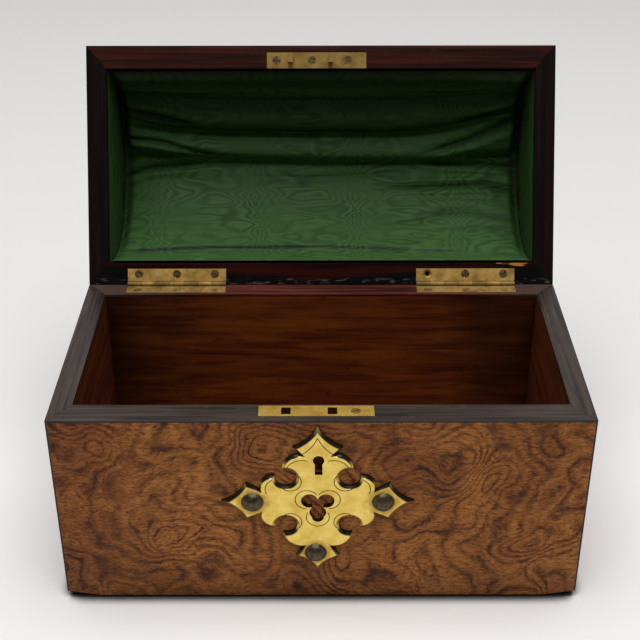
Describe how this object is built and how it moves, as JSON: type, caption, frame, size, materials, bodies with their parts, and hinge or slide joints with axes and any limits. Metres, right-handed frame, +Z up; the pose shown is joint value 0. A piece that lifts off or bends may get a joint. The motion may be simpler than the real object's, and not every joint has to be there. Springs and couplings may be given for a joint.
{
  "type": "decorative box",
  "caption": "Domed burr walnut box standing open, hinged lid lined in green moire silk, hook lock in the rim and pierced gothic brass escutcheon on the front.",
  "frame": {"origin": "middle of the base footprint, on the underside of the baize pad", "axes": "+X to the right seen from the front, -Y out of the front, +Z up; rest is the lid open against its stop"},
  "size_m": [0.24, 0.2223, 0.2115],
  "materials": {
    "burr_walnut": "french polished burr veneer",
    "rosewood": "polished, worn",
    "stained_wood": "brown stain, satin",
    "ebony": "black stain",
    "polished_brass": "polished, dark in the edges",
    "tarnished_brass": "tarnished",
    "dark_steel": "oxidised",
    "dark_stud": "dark patina, polished dome",
    "moire_silk": "watered silk",
    "baize": "napped"
  },
  "bodies": {
    "base": {"base_front_board": "stained_wood", "base_back_board": "stained_wood", "base_left_board": "stained_wood", "base_right_board": "stained_wood", "base_bottom_board": "stained_wood", "base_baize": "baize", "base_front_veneer": "burr_walnut", "base_back_veneer": "burr_walnut", "base_left_veneer": "burr_walnut", "base_right_veneer": "burr_walnut", "base_corner_strings": "ebony", "base_rim_front": "rosewood", "base_rim_back": "rosewood", "base_rim_left": "rosewood", "base_rim_right": "rosewood", "escutcheon_plate": "polished_brass", "escutcheon_studs": "dark_stud", "lock_body": "tarnished_brass", "lock_cap": "tarnished_brass", "lock_key_pin": "dark_steel", "lock_cap_screws": "dark_steel", "lock_plate_screw": "dark_steel", "lock_spring": "dark_steel", "hinge_left_base_leaf": "tarnished_brass", "hinge_right_base_leaf": "tarnished_brass", "hinge_left_pin": "dark_steel", "hinge_right_pin": "dark_steel", "base_hinge_screws": "dark_steel"},
    "bolt": {"lock_bolt": "tarnished_brass"},
    "lid": {"lid_front_rail": "stained_wood", "lid_back_rail": "stained_wood", "lid_stave_1": "stained_wood", "lid_stave_2": "stained_wood", "lid_stave_3": "stained_wood", "lid_stave_4": "stained_wood", "lid_stave_5": "stained_wood", "lid_stave_6": "stained_wood", "lid_left_end": "stained_wood", "lid_right_end": "stained_wood", "lid_dome_veneer": "burr_walnut", "lid_left_veneer": "burr_walnut", "lid_right_veneer": "burr_walnut", "lid_edge_strings": "ebony", "lid_rim_front": "rosewood", "lid_rim_back": "rosewood", "lid_rim_left": "rosewood", "lid_rim_right": "rosewood", "lid_lining_dome": "moire_silk", "lid_lining_left": "moire_silk", "lid_lining_right": "moire_silk", "lock_hook_plate": "tarnished_brass", "hook_plate_screws": "dark_steel", "hinge_left_lid_leaf": "tarnished_brass", "hinge_right_lid_leaf": "tarnished_brass", "lid_hinge_screws": "dark_steel"}
  },
  "joints": [
    {"name": "lid_hinge", "type": "hinge", "parent": "base", "child": "lid", "pos_m": [0, 0.06062, 0.1024], "axis": [1, 0, 0], "range_deg": [0, 116.3]},
    {"name": "bolt_slide", "type": "slide", "parent": "base", "child": "bolt", "axis": [1, 0, 0], "range_m": [0, 0.0042]}
  ]
}
